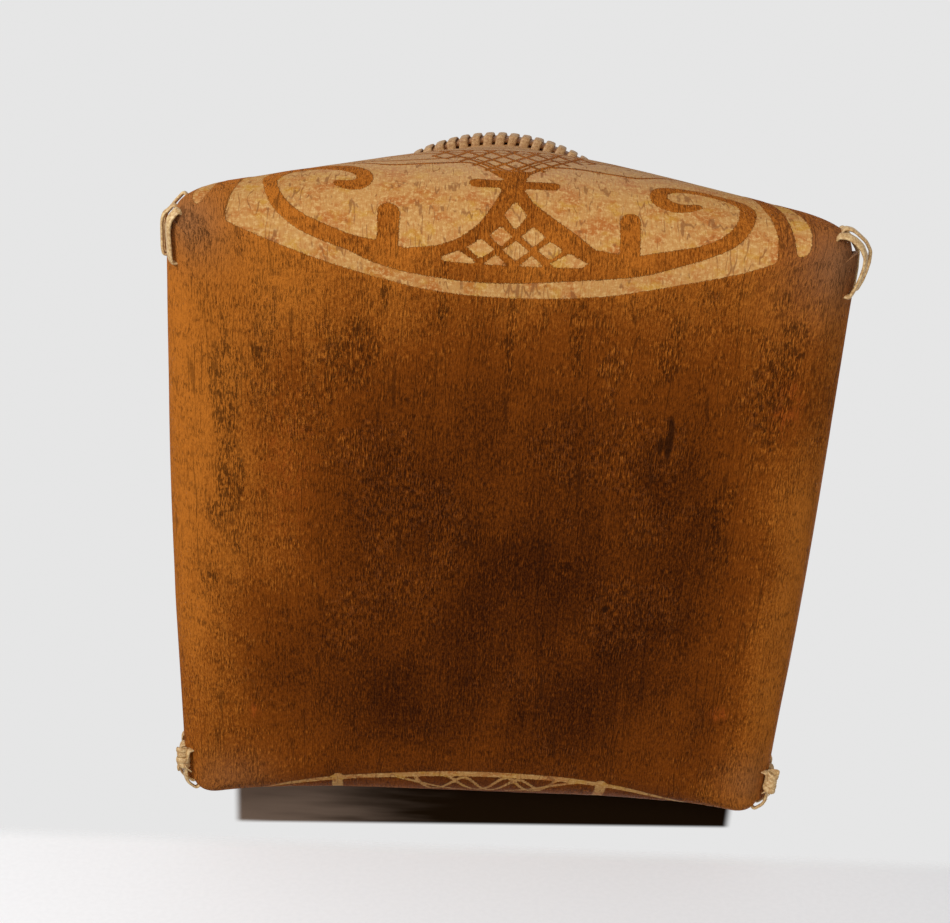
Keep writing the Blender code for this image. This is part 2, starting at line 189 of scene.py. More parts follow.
# Centre, half width and half height of each lozenge, and where those of the lowest row are cut off
LOZENGES = (
    (-0.3, 31.5, 4.1, 6), (-5.2, 23.2, 4.1, 3.9), (6, 23.5, 4.2, 3.9), (-12, 18.3, 4.8, 3.6),
    (0.1, 18.3, 4.7, 3.6), (12, 18.7, 4.5, 3.4), (-19.6, 13.6, 6.4, 3.4), (-6.6, 12.6, 4.8, 4.1),
    (5.8, 12.8, 4.7, 4.1), (18.6, 14, 6.8, 3.9),
)
LOZENGE_FOOT = 13.1
LOWEST_ROW = 6
# The back repeats the front's ornament further up, over an arc, two ticks and crossing lines of its own
BACK_LIFT = 33
BACK_STROKES = (
    (
        (108, 27, 1), (89, 18, 1.4), (78, 13.5, 1.6), (59, 12.6, 1.7), (38, 13, 1.7), (12, 12.6, 1.7),
        (-13, 12.3, 1.7), (-39, 11.8, 1.6), (-65, 13, 1.5), (-88, 18.3, 1.2), (-104, 25, 0.9),
    ),
    ((57.5, 11, 2.2), (57.5, 22, 2.2), (57.5, 34, 2.2)),
    ((-50, 11, 2.2), (-50, 20, 2.2), (-50, 32, 2.2)),
    ((26, 14, 0.8), (18, 29, 0.8), (6, 15, 0.8), (-5, 29, 0.8), (-16, 15, 0.8), (-26, 26, 0.8)),
    ((20, 14, 0.8), (12, 15, 0.8), (0, 29, 0.8), (-11, 14, 0.8), (-22, 27, 0.8), (-31, 14, 0.8)),
    ((34, 14, 0.8), (24, 20, 0.9), (12, 28, 0.9), (5, 31, 0.8)),
    ((-40, 13, 0.8), (-30, 18, 0.9), (-20, 25, 0.9), (-12, 29, 0.8)),
)
# How far below the rim each line along it lies, and its half width
RIM_LINES = ((15, 1.3), (24, 1.3), (34, 1.5), (45, 1.6), (57, 1.8), (70, 2.3), (82, 2.1))
SCRAPED_DEEP = 0.00012
UNSCRAPED = -50
# Two fine lines that dip to the middle, and the lattice of fine ones there
LOW_LINE = (
    (-110, 66), (-75, 67), (-60, 62.5), (-45, 57), (-31, 59.5), (-18, 61.5), (-13, 58.5), (-7, 51.5),
    (-1.5, 48), (4, 53), (10.7, 59.3), (20.6, 60.5), (34.9, 57), (44.6, 55.5), (59.7, 62.5), (75, 64),
    (110, 62),
)
HIGH_LINE = (
    (-110, 74), (-75, 74), (-60, 69), (-45, 64), (-31, 67), (-18, 71), (-9, 60), (-1.5, 54), (6, 60),
    (16, 72), (32, 77), (50.6, 76), (60, 70.5), (75, 71), (110, 70),
)
LATTICE_FOOT = 53
LATTICE_HALF = 31
LATTICE_BELOW_RIM = 70
LATTICE_PITCH = 8.5
LATTICE_LEAN = 3.15
LATTICE_CLOSING = 22

# Places on the bark's sheet, in millimetres from the base's middle: (across, along, half sizes, amount).
# The sheet runs on over the folds, so one set of places does for the base and the walls
FLAKY = (
    (-34, 0, 24, 38, 1), (-46, -35, 16, 14, 1), (38, -42, 33, 19, 1), (54, 27, 23, 20, 0.8),
    (-57, 37, 11, 16, 0.8), (60, -12, 20, 20, 0.6), (8, 62, 34, 20, 0.45), (92, -66, 12, 30, 0.55),
    (-60, -82, 20, 14, 0.4),
)
CRACKED = (
    (-99, -50, 7, 50, 1), (-88, -84, 4, 22, 0.7), (-53, -78, 9, 16, 1), (0.5, -75, 3, 34, 0.9),
    (23, -86, 4, 17, 1), (58, -78, 7, 15, 0.8), (97, -62, 9, 36, 1), (-62, -70, 2.5, 30, 0.8),
    (-24, -96, 2.5, 18, 0.7), (-44, -93, 2.5, 14, 0.6), (-22, 70, 2, 30, 0.6), (9.6, 63, 2, 24, 0.6),
    (86, 0, 8, 60, 0.5), (-100, 22, 9, 52, 0.6),
)
STAINS = ((60, -46, 1.7, 10, 1), (57, -43, 1.2, 6, 0.8), (43.4, 25.7, 1.6, 1.6, 0.9))
EMBERS = (
    (-90, 78, 3, 4, 0.6), (92.7, 71, 5, 5, 0.6), (101, -60, 8, 16, 0.5), (58.4, -49, 0.9, 1.8, 1),
    (-78, -30, 16, 50, 0.35),
)
# Grey patches near the corners: partly a painted sheen, partly wear
SHEEN_AND_WEAR = (
    (-112, -120, 15, 16, 0.8), (116, -116, 20, 20, 1), (-100, 112, 16, 12, 0.4), (112, 104, 12, 12, 0.5),
)
LAYER_EDGES = (-0.1, 0.42)
LAYER_DEEP = 0.00013

MM = 0.001


def smooth_step(share):
    share = np.clip(share, 0, 1)
    return share * share * (3 - 2 * share)


def bend(start, corner, end, share):
    """A point of the curve that sets out towards a corner and comes from it to its end."""
    return start * (1 - share) ** 2 + corner * 2 * share * (1 - share) + end * share**2


def running(steps):
    """The way walked before the first step and after each, along the last axis."""
    walked = np.cumsum(steps, axis=-1)
    return np.concatenate((0 * walked[..., :1], walked), axis=-1)


# The outer face of the folded sheet, for arrays of places and heights
def half_width(height, flat, wide, fold, at_rim, ease):
    turned = np.minimum(height / fold, 1)
    out = flat + (wide - flat) * np.sqrt(1 - (1 - turned) ** 2)
    lean = np.clip((height - fold) / (BAND_FOOT - fold), 0, 1) ** ease
    return out + (at_rim - out) * lean


def wall_point(wall, share, height):
    """Walls 0 to 3 are front, right, back and left, and a share runs from -1 to 1 between corners."""
    corner_x, corner_y = (
        half_width(height, wide - CORNER_REACH, wide, CORNER_FOLD, rim * math.sin(EIGHTH_TURN), CORNER_EASE)
        for wide, rim in zip(CORNER_WIDE, (RIM_WIDE, RIM_DEEP))
    )
    front = half_width(height, FRONT_FLAT, FRONT_WIDE, FRONT_FOLD, RIM_DEEP, WALL_EASE)
    side = half_width(height, SIDE_FLAT, SIDE_WIDE, SIDE_FOLD, RIM_WIDE, WALL_EASE)
    along = np.sin(share * EIGHTH_TURN) / math.sin(EIGHTH_TURN)
    belly = (np.cos(share * EIGHTH_TURN) - math.cos(EIGHTH_TURN)) / (1 - math.cos(EIGHTH_TURN))
    faces_y = wall % 2 == 0
    x = np.where(faces_y, corner_x * along, corner_x + (side - corner_x) * belly)
    y = np.where(faces_y, -corner_y - (front - corner_y) * belly, corner_y * along)
    turn = np.where(wall < 2, 1, -1)
    return np.stack((x * turn, y * turn, height + 0 * x), axis=-1)


def outline(place, height):
    """Points of the outer face. A place counts 2 for each wall, from the front left corner to the right."""
    place, height = np.broadcast_arrays(np.asarray(place, float) % 8, np.asarray(height, float))
    wall = np.minimum(place // 2, 3).astype(int)
    share = place - 2 * wall - 1
    rounding = CORNER_ROUND * np.maximum(1 - (height / BAND_FOOT) ** 2, 0)
    side = np.where(share > 0, 1, -1)
    start = wall_point(wall, side * (1 - rounding), height)
    corner = wall_point(wall, side * 1.0, height)
    end = wall_point((wall + side) % 4, -side * (1 - rounding), height)
    turned = np.clip((np.abs(share) - 1 + rounding) / np.maximum(2 * rounding, 1e-9), 0, 1)[..., None]
    straight = wall_point(wall, share, height)
    on_wall = (np.abs(share) <= 1 - rounding)[..., None]
    return np.where(on_wall, straight, bend(start, corner, end, turned))


def unit(vectors):
    return vectors / np.maximum(np.linalg.norm(vectors, axis=-1, keepdims=True), 1e-12)


def sheet_frame(place, height):
    """(points, outward normals, upward directions, distance for each unit of place)."""
    place_step, height_step = 1e-3, 1e-4
    around = outline(place + place_step, height) - outline(place - place_step, height)
    low = np.maximum(np.asarray(height) - height_step, 0)
    up = outline(place, np.asarray(height) + height_step) - outline(place, low)
    normal = unit(np.cross(around, up))
    at_base = np.broadcast_to(np.asarray(height)[..., None] <= 0, normal.shape)
    normal = np.where(at_base, (0, 0, -1), normal)
    return outline(place, height), normal, unit(up), np.linalg.norm(around, axis=-1) / (2 * place_step)


def tab_edge(height):
    return TAB_EDGE_BASE + (TAB_EDGE_RIM - TAB_EDGE_BASE) * height / HEIGHT


def tab_lift(height):
    left = np.clip((BAND_FOOT - height) / TAB_PARED, 0, 1)
    return BARK * smooth_step(height / TAB_RISE) * left


def noise(points, size, seed):
    """Smooth value noise from -1 to 1 at points, with features of about the given size."""
    cells = points / size + seed * 17.31
    low = np.floor(cells).astype(np.int64)
    part = cells - low
    part = part * part * (3 - 2 * part)
    total = np.zeros(points.shape[:-1])
    for corner in range(8):
        step = np.array((corner & 1, corner >> 1 & 1, corner >> 2 & 1))
        at = low + step
        mixed = at[..., 0] * 73856093 ^ at[..., 1] * 19349663 ^ at[..., 2] * 83492791 ^ seed * 2654435761
        mixed = (mixed ^ (mixed >> 13)) * 1274126177 & 0x7FFFFFFF
        value = (mixed ^ (mixed >> 16)) % 65536 / 32768 - 1
        total += value * np.prod(np.where(step, part, 1 - part), axis=-1)
    return total


# Meshes
def put(name, data):
    """A new object in the scene."""
    obj = bpy.data.objects.new(name, data)
    bpy.context.scene.collection.objects.link(obj)
    return obj


def new_object(name, verts, faces, materials, slots=None):
    mesh = bpy.data.meshes.new(name)
    mesh.from_pydata(np.asarray(verts).tolist(), [], faces)
    for material in materials:
        mesh.materials.append(material)
    if slots is not None:
        mesh.polygons.foreach_set("material_index", np.asarray(slots, np.int32))
    mesh.shade_smooth()
    return put(name, mesh)


def attribute(obj, name, values):
    """A number for each of the first points of the mesh, and nothing for the rest."""
    made = obj.data.attributes.new(name, "FLOAT", "POINT")
    all_values = np.zeros(len(obj.data.vertices), np.float32)
    values = np.asarray(values, np.float32).ravel()
    all_values[: len(values)] = values
    made.data.foreach_set("value", all_values)


def seat(obj, slot, *nodes):
    """Fixes a piece to the basket's body and hides the solids that it stands for. Its slot is not used."""
    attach(obj, "root")
    if nodes:
        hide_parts(*nodes)
    return obj


def grid_faces(start, rows, columns, flip):
    """Quads over a grid whose points are numbered row by row from start."""
    i, j = np.meshgrid(np.arange(rows - 1), np.arange(columns - 1), indexing="ij")
    a = (start + i * columns + j).ravel()
    corners = (a, a + 1, a + columns + 1, a + columns)
    return np.stack(corners[::-1] if flip else corners, axis=1).tolist()


def tube_faces(rings, sides, flip):
    """Quads along a tube whose points are numbered ring by ring, and a face over each of its ends."""
    i, j = np.meshgrid(np.arange(rings - 1), np.arange(sides), indexing="ij")
    low, high, after = i * sides, (i + 1) * sides, (j + 1) % sides
    faces = np.stack((low + j, low + after, high + after, high + j), axis=-1).reshape(-1, 4).tolist()
    faces += [list(range(sides))[::-1], list(range((rings - 1) * sides, rings * sides))]
    return [face[::-1] for face in faces] if flip else faces


def ring_numbers(start, rows, columns):
    """The grid's border, once round in the direction of its faces."""
    grid = start + np.arange(rows * columns).reshape(rows, columns)
    return np.concatenate((grid[0, :-1], grid[:-1, -1], grid[-1, :0:-1], grid[:0:-1, 0]))


def grid_normals(grid):
    return unit(np.cross(np.gradient(grid, axis=1), np.gradient(grid, axis=0)))


def slab(name, outer, inner, normals, materials):
    """A closed sheet from its outer grid and an inner one with half as many cells each way.

    Rows run along the first axis, and columns so that across x along points outwards."""
    rows, columns, _ = outer.shape
    inner_rows, inner_columns, _ = inner.shape
    start = rows * columns
    faces = grid_faces(0, rows, columns, False)
    outside_count = len(faces)
    faces += grid_faces(start, inner_rows, inner_columns, True)
    inside_count = len(faces) - outside_count
    around = ring_numbers(0, rows, columns)
    within = ring_numbers(start, inner_rows, inner_columns)
    for k in range(len(within)):
        a, b, c = around[2 * k], around[2 * k + 1], around[(2 * k + 2) % len(around)]
        faces.append([int(c), int(b), int(a), int(within[k]), int(within[(k + 1) % len(within)])])
    slots = [0] * outside_count + [1] * inside_count + [2] * len(within)
    verts = np.concatenate((outer.reshape(-1, 3), inner.reshape(-1, 3)))
    obj = new_object(name, verts, faces, materials, slots)
    set_normals(obj, outside_count, inside_count, normals, -grid_normals(inner))
    return obj


def set_normals(obj, outside_count, inside_count, outer_normals, inner_normals):
    """Smooth faces take the sheet's normals, so that pieces meet without a line. The edge is flat."""
    mesh = obj.data
    loop_verts = np.empty(len(mesh.loops), np.int32)
    mesh.loops.foreach_get("vertex_index", loop_verts)
    normals = np.concatenate((outer_normals.reshape(-1, 3), inner_normals.reshape(-1, 3)))[loop_verts]
    flat = np.empty(3 * len(mesh.polygons))
    mesh.polygons.foreach_get("normal", flat)
    totals = np.empty(len(mesh.polygons), np.int32)
    mesh.polygons.foreach_get("loop_total", totals)
    of_face = np.repeat(np.arange(len(totals)), totals)
    edge = of_face >= outside_count + inside_count
    normals[edge] = flat.reshape(-1, 3)[of_face[edge]]
    mesh.normals_split_custom_set(normals.tolist())


# The ornament, as signed distances in millimetres that are positive inside a form
def nearest_on(u, v, start, end):
    """(share of the way from start to end, distance) of the point of a line nearest to a place."""
    (u0, v0), (u1, v1) = start, end
    length = max((u1 - u0) ** 2 + (v1 - v0) ** 2, 1e-9)
    share = np.clip(((u - u0) * (u1 - u0) + (v - v0) * (v1 - v0)) / length, 0, 1)
    return share, np.hypot(u - u0 - share * (u1 - u0), v - v0 - share * (v1 - v0))


def polygon_depth(u, v, corners):
    nearest, inside = np.full(u.shape, 1e9), np.zeros(u.shape, bool)
    for start, end in zip(corners, corners[1:] + corners[:1]):
        nearest = np.minimum(nearest, nearest_on(u, v, start, end)[1])
        (u0, v0), (u1, v1) = start, end
        if v0 != v1:
            inside ^= ((v0 > v) != (v1 > v)) & (u < u0 + (v - v0) * (u1 - u0) / (v1 - v0))
    return np.where(inside, nearest, -nearest)


def smooth_path(points, steps=5):
    """Points of a curve through the given ones."""
    points = np.array(points, float)
    ends = np.concatenate((points[:1], points, points[-1:]))
    out = []
    for a, b, c, d in zip(ends, ends[1:], ends[2:], ends[3:]):
        slope, bowed, turned = (c - a) / 2, a - 2.5 * b + 2 * c - d / 2, 1.5 * (b - c) + (d - a) / 2
        for s in np.arange(steps) / steps:
            out.append(b + slope * s + bowed * s**2 + turned * s**3)
    out.append(points[-1])
    return np.array(out)


def stroke_depth(u, v, points):
    path = smooth_path(points)
    parts = []
    for start, end in zip(path, path[1:]):
        share, apart = nearest_on(u, v, start[:2], end[:2])
        parts.append(start[2] + share * (end[2] - start[2]) - apart)
    return np.maximum.reduce(parts)


def lozenge_depth(u, v, number):
    at_u, at_v, wide, high = LOZENGES[number]
    slant = math.hypot(1 / wide, 1 / high)
    depth = (1 - np.abs(u - at_u) / wide - np.abs(v - at_v) / high) / slant
    return np.minimum(depth, v - LOZENGE_FOOT + 0.02 * np.abs(u)) if number >= LOWEST_ROW else depth


def figure_depth(u, v):
    """Where bark was left dark inside the scraped field."""
    left = [polygon_depth(u, v, TRIANGLE), *(stroke_depth(u, v, stroke) for stroke in (BAND, *BARS))]
    bared = [lozenge_depth(u, v, number) for number in range(len(LOZENGES))]
    return np.minimum(np.maximum.reduce(left), -np.maximum.reduce(bared))


def scraping(u, v, strokes, lift):
    """How deep a place lies inside the scraped, pale bark. The strokes aren't lifted with the field."""
    field = np.minimum(polygon_depth(u, v, FIELD), -figure_depth(u, v))
    return np.maximum.reduce([field, *(stroke_depth(u, v + lift, stroke) for stroke in strokes)])


def above_line(u, v, line):
    """Distance up from one of the fine lines that cross the upper front."""
    path = smooth_path([(*point, 0) for point in line])
    return v - np.interp(u, path[:, 0], path[:, 1])


# The bark
def odd_count(length, cell):
    return 2 * max(round(length / cell / 2), 1) + 1


def even_heights(places, count):
    """Heights that part each column of the wall evenly, and the distance up the wall to them."""
    dense = HEIGHT * np.linspace(0, 1, 600) ** 2
    points = outline(places[:, None], dense[None])
    walked = running(np.linalg.norm(np.diff(points, axis=1), axis=2))
    up = walked[:, -1:] * np.linspace(0, 1, count)
    heights = np.stack([np.interp(target, walk, dense) for target, walk in zip(up, walked)])
    heights[:, 0] = 0
    heights[:, -1] = HEIGHT
    return heights, up


def around_from(middle_place, places, heights):
    """Distance along the sheet, level, from a place to others at the same heights."""
    reach, columns, rows = 2.1, 421, 61
    spread = np.linspace(-reach, reach, columns)
    levels = HEIGHT * np.linspace(0, 1, rows) ** 2
    points = outline(middle_place + spread[None], levels[:, None])
    walked = running(np.linalg.norm(np.diff(points, axis=1), axis=2))
    walked -= walked[:, columns // 2, None]
    column = np.clip((places - middle_place + reach) * (columns - 1) / (2 * reach), 0, columns - 1.001)
    row = np.clip(np.sqrt(heights / HEIGHT) * (rows - 1), 0, rows - 1.001)
    i, j = row.astype(int), column.astype(int)
    a, b = row - i, column - j
    low = walked[i, j] * (1 - b) + walked[i, j + 1] * b
    high = walked[i + 1, j] * (1 - b) + walked[i + 1, j + 1] * b
    return low * (1 - a) + high * a


def undulation(points):
    """How far the old bark has warped inwards, as a distance along its outward normal."""
    broad = (noise(points, 0.045, 3) - 1) * 0.00025
    ripples = (noise(points * (2.2, 1, 1), 0.016, 5) - 1) * 0.00008
    return broad + ripples


def near(u, v, spots):
    """How close a place of the sheet lies to any of some spots, from 0 to each one's amount."""
    return np.maximum.reduce([
        amount * np.exp(-(((u - at_u) / half_u) ** 2) - ((v - at_v) / half_v) ** 2)
        for at_u, at_v, half_u, half_v, amount in spots
    ])


def layers(u, v):
    """A height that falls through the layers' edges where the rind is flaking off."""
    at = np.stack((u, v * 0.6, 0 * u), axis=-1)
    rough = 0.75 * noise(at, 8, 21) + 0.5 * noise(at, 3.6, 22) + 0.3 * noise(at, 1.7, 23)
    worn = np.maximum(near(u, v, FLAKY) * 1.5, 0.25 + 0.55 * noise(at, 26, 24))
    return rough + 1.7 * smooth_step(worn) - 1.5


def layer_relief(height):
    steps = sum(smooth_step((height - edge) / 0.25 + 0.5) for edge in LAYER_EDGES)
    return LAYER_DEEP * steps


def patina(u, v):
    """How light the rind is: golden along its edges and dark in the base's middle. This is partly the
    rind's own tone and handling, and partly painted light that brightens the left and front edges most.
    """
    low, top = smooth_step((v + 10) / 100), smooth_step((-v - 20) / 80)
    left = (0.9 - 0.22 * low) * np.exp(-((np.maximum(u + 125, 0) / (56 - 16 * low)) ** 2))
    front = 0.68 * np.exp(-((np.maximum(v + 112, 0) / 50) ** 2)) * (1 - 0.25 * smooth_step((u - 40) / 80))
    right = (0.82 - 0.5 * top) * np.exp(-((np.minimum(u - 126, 0) / 36) ** 2))
    back = 0.26 * np.exp(-((np.minimum(v - 118, 0) / 30) ** 2)) + 0.3 * smooth_step((v - 112) / 20)
    ends = 1 - 0.4 * smooth_step((np.abs(u) - 125) / 70)
    return 1 - (1 - left * ends) * (1 - front) * (1 - right * ends) * (1 - back) * 0.96


def wall_slab(name, places, heights, offset, inner_offset, materials):
    """A wall from grids of places and heights, both with a row for each column of the wall."""
    points, normals, _, _ = sheet_frame(places, heights)
    calm = smooth_step((BAND_FOOT - heights) / 0.01)
    outer = points + normals * (offset + undulation(points) * calm)[..., None]
    inner = points + normals * inner_offset[..., None]
    outer_grid = outer.transpose(1, 0, 2)
    inner_grid = inner[::2, ::2].transpose(1, 0, 2)
    shading = grid_normals(outer_grid)
    shading[0] = (0, 0, -1)
    return slab(name, outer_grid, inner_grid, shading, materials)


def flap_offsets(places, heights):
    """The flaps' outer and inner face. Under the tabs they run on, thin and a little behind them."""
    share = np.where(places % 4 >= 2, np.abs(places % 2 - 1), 9.0)
    under = share < tab_edge(heights) - TAB_COVER
    outer = np.where(under, tab_lift(heights) - BARK - FLAP_THIN / 2, 0)
    return outer, np.minimum(outer - FLAP_THIN, -BARK)


def sheet_places(middle_place, places, heights, up):
    """(across, along) the bark's grain in millimetres, unbroken from the base over its folds."""
    axis = 0 if middle_place in (1, 5) else 1
    turn = 1 if middle_place in (1, 3) else -1
    outward = 1 if middle_place in (3, 5) else -1
    edge = outline(places, 0 * heights)
    at_edge = around_from(middle_place, places, 0 * heights)
    far = np.abs(at_edge) > 1e-3
    stretch = np.where(far, edge[..., axis] / np.where(far, at_edge, 1), turn)
    level = around_from(middle_place, places, heights) * stretch / MM
    beyond = (edge[..., 1 - axis] + outward * up) / MM
    return (beyond, level) if axis else (level, beyond)


def mark(obj, sheet_u, sheet_v, layered, **values):
    """Gives a piece of bark its places on the sheet, and what is found there, from grids of its columns."""
    values.update(
        sheet_u=sheet_u,
        sheet_v=sheet_v,
        layers=layered,
        # the rind's lightness: partly its own tone, partly painted light on its edges
        patina=patina(sheet_u, sheet_v),
        cracked=near(sheet_u, sheet_v, CRACKED),
        spot=near(sheet_u, sheet_v, EMBERS) - near(sheet_u, sheet_v, STAINS),
        # grey near the corners: partly a painted sheen, partly wear
        worn=near(sheet_u, sheet_v, SHEEN_AND_WEAR),
    )
    for name, value in values.items():
        attribute(obj, name, value.T)


def long_wall(name, middle_place, strokes, lift, materials):
    """The front or the back, with the flaps that wrap round its corners to the middles of the end walls."""
    length = around_from(middle_place, middle_place + np.array((-2.0, 2.0)), np.full(2, HEIGHT / 3))
    places = np.linspace(middle_place - 2, middle_place + 2, odd_count(length[1] - length[0], CELL))
    heights, up = even_heights(places, odd_count(WALL_LONG, CELL))
    places = places[:, None] + 0 * heights
    u, v = around_from(middle_place, places, heights) / MM, up / MM - lift
    scraped = scraping(u, v, strokes, lift)
    sheet_u, sheet_v = sheet_places(middle_place, places, heights, up)
    layered = layers(sheet_u, sheet_v) - 3 * smooth_step(scraped + 1)
    relief = layer_relief(layered) - smooth_step(scraped / 0.8 + 0.5) * SCRAPED_DEEP
    outer, inner = flap_offsets(places, heights)
    obj = wall_slab(name, places, heights, outer + relief, inner, materials)
    lines = {"low_line": above_line(u, v, LOW_LINE), "high_line": above_line(u, v, HIGH_LINE)}
    from_rim = (up[:, -1:] - up) / MM
    mark(obj, sheet_u, sheet_v, layered, scraped=scraped, wall_u=u, wall_v=v, wall_w=from_rim, **lines)
    return obj


def end_tab(name, middle_place, materials):
    """A tab folded up from the base, narrower towards the rim."""
    shares = np.linspace(-1, 1, odd_count(TAB_WIDE, CELL))
    heights, up = even_heights(middle_place + shares * TAB_EDGE_BASE, odd_count(TAB_LONG, CELL))
    places = middle_place + shares[:, None] * tab_edge(heights)
    sheet_u, sheet_v = sheet_places(middle_place, places, heights, up)
    layered = layers(sheet_u, sheet_v)
    lift = tab_lift(heights)
    obj = wall_slab(name, places, heights, lift + layer_relief(layered), lift - BARK, materials)
    mark(obj, sheet_u, sheet_v, layered, scraped=0 * up + UNSCRAPED)
    return obj


def base_slab(name, materials):
    """The base, spun between its four curved edges."""
    count = odd_count(BASE_WIDE, CELL)
    share = np.linspace(-1, 1, count)
    zero = np.zeros(count)
    front, back = outline(1 + share, zero), outline(5 - share, zero)
    left, right = outline(7 - share, zero), outline(3 + share, zero)
    s = ((share + 1) / 2)[None, :, None]
    t = ((share + 1) / 2)[:, None, None]
    ruled = (1 - t) * front[None] + t * back[None] + (1 - s) * left[:, None] + s * right[:, None]
    at_front, at_back = (1 - s) * front[0] + s * front[-1], (1 - s) * back[0] + s * back[-1]
    corners = (1 - t) * at_front + t * at_back
    points = (ruled - corners)[:, ::-1]
    x, y = points[..., 0] / MM, points[..., 1] / MM
    layered = layers(x, y)
    outer = points.copy()
    outer[..., 2] -= undulation(points) + layer_relief(layered)
    inner = points[::2, ::2] + (0, 0, BARK)
    shading = grid_normals(outer)
    for edge in (shading[0], shading[-1], shading[:, 0], shading[:, -1]):
        edge[:] = (0, 0, -1)
    obj = slab(name, outer, inner, shading, materials)
    mark(obj, x.T, y.T, layered.T, scraped=0 * x.T + UNSCRAPED)
    return obj


def bark(materials):
    return (
        base_slab("bark_base", materials),
        long_wall("bark_front", 1, SIDE_STRIPS, 0, materials),
        long_wall("bark_back", 5, BACK_STROKES, BACK_LIFT, materials),
        end_tab("bark_tab_right", 3, materials),
        end_tab("bark_tab_left", 7, materials),
    )


# Split root
def rounded(path, across, radius, steps=4):
    """The path with its corners turned into short curves, and the across directions to suit."""
    points, sides = [path[0]], [across[0]]
    for i in range(1, len(path) - 1):
        before, here, after = path[i - 1], path[i], path[i + 1]
        ways = before - here, after - here
        start, end = (here + unit(way) * min(radius, 0.49 * np.linalg.norm(way)) for way in ways)
        side_before, side_after = (across[i] + across[i - 1]) / 2, (across[i] + across[i + 1]) / 2
        for share in np.linspace(0, 1, steps + 1):
            points.append(bend(start, here, end, share))
            sides.append(bend(side_before, across[i], side_after, share))
    points.append(path[-1])
    sides.append(across[-1])
    return np.array(points), np.array(sides)


def strip(name, path, across, width, thick, seed, material):
    """A split root: its face rounded, its sides uneven, swept along the path."""
    tangents = unit(np.gradient(path, axis=0))
    sides = unit(across - tangents * (across * tangents).sum(axis=1, keepdims=True))
    outward = np.cross(tangents, sides)
    walked = running(np.linalg.norm(np.diff(path, axis=0), axis=1))
    along = np.stack((walked, 0 * walked, 0 * walked), axis=1)
    uneven = 0.10 * noise(along, 0.006, seed) + 0.05 * noise(along, 0.0015, seed + 1)
    widths = width * (1 + uneven)
    thicks = thick * (1 + 0.12 * noise(along, 0.005, seed + 2))
    turned = np.linspace(0, 2 * math.pi, ROOT_SIDES, endpoint=False)
    w, t = (np.sign(way) * np.abs(way) ** 0.75 / 2 for way in (np.cos(turned), np.sin(turned)))
    rings = (
        path[:, None]
        + sides[:, None] * (widths[:, None] * w)[..., None]
        + outward[:, None] * (thicks[:, None] * t)[..., None]
    )
    return new_object(name, rings.reshape(-1, 3), tube_faces(len(path), ROOT_SIDES, False), [material])


def outwards(angle):
    """The way straight out from the oval rim. An angle gives a place on the oval as on a circle."""
    return unit(np.stack((RIM_DEEP * np.cos(angle), RIM_WIDE * np.sin(angle), 0 * angle), axis=-1))


def along_rim(angle):
    return np.cross((0, 0, 1), outwards(angle))


def around_rim(angle, offset, height):
    """A point beside the rim, offset from the outer face of the bark."""
    on_rim = np.stack((RIM_WIDE * np.cos(angle), RIM_DEEP * np.sin(angle), height + 0 * angle), axis=-1)
    return on_rim + outwards(angle) * np.asarray(offset)[..., None]


def rim_angle(share):
    """The angle at a share of the whole way round, from the front at -Y."""
    angles = np.linspace(-math.pi / 2, 3 * math.pi / 2, 2001)
    steps = np.hypot(RIM_WIDE * np.diff(np.cos(angles)), RIM_DEEP * np.diff(np.sin(angles)))
    walked = running(steps) / steps.sum()
    rounds = np.floor(share)
    return 2 * math.pi * rounds + np.interp(share - rounds, walked, angles)


def turn_angle(turn):
    return rim_angle((turn + 0.5) / RIM_TURNS)


def rim_turn():
    """(offset, height, share of a turn since the hole) at each bend of the lashing's middle line."""
    outer = HOOP_CLEAR + OUTER_HOOP_THICK + CLEAR + ROOT_THICK / 2
    inner = -BARK - HOOP_CLEAR - INNER_HOOP_THICK - CLEAR - FACET_ROOM - ROOT_THICK / 2
    top = HEIGHT + CLEAR + ROOT_THICK / 2
    foot = HOOP_FOOT - CLEAR - ROOT_THICK / 2
    bends = np.array((
        (inner, foot),
        (outer, foot),
        (outer, top - TURN_CORNER),
        (outer - TURN_CORNER, top),
        (inner + TURN_CORNER, top),
        (inner, top - TURN_CORNER),
    ))
    lengths = np.linalg.norm(bends - np.roll(bends, 1, axis=0), axis=1)
    walked = running(lengths[1:]) - (-BARK / 2 - inner)
    return [(*bend, length / lengths.sum()) for bend, length in zip(bends, walked)]


def rim_root(number, material):
    first = number * TURNS_PER_ROOT
    path, across = [], []
    for turn in range(first, first + TURNS_PER_ROOT):
        for offset, height, share in rim_turn():
            angle = turn_angle(turn + share)
            path.append(around_rim(angle, offset, height))
            across.append(along_rim(angle))
    offset, height, share = rim_turn()[0]
    next_hole = around_rim(turn_angle(first + TURNS_PER_ROOT + share), offset, height)
    path.append(path[-1] + unit(next_hole - path[-1]) * ROOT_TAIL)
    across.append(across[-1])
    points, sides = rounded(np.array(path), np.array(across), ROOT_BEND)
    name = f"rim_lashing_{number + 1}"
    obj = strip(name, points, sides, RIM_ROOT_WIDTH, ROOT_THICK, 10 + number, material)
    return seat(obj, "root", f"rim_root_{number + 1}")


def stitch_heights():
    close = [CORNER_STITCH_HEIGHT + i * CORNER_STITCH_GAP for i in range(CORNER_STITCHES)]
    first = close[-1] + CORNER_STITCH_GAP
    pitch = (BAND_FOOT - SEAM_END - first) / (SEAM_STITCHES - 1)
    return close + [first + i * pitch for i in range(SEAM_STITCHES)]


def stitch_places(wall, side, height, flap_reach):
    """The places of a stitch's two holes: in the flap, towards the corner, and in the tab."""
    edge = 2 * wall + 1 + side * tab_edge(height)
    scale = side / sheet_frame(edge, height)[3]
    return edge + flap_reach * scale, edge - STITCH_REACH * scale


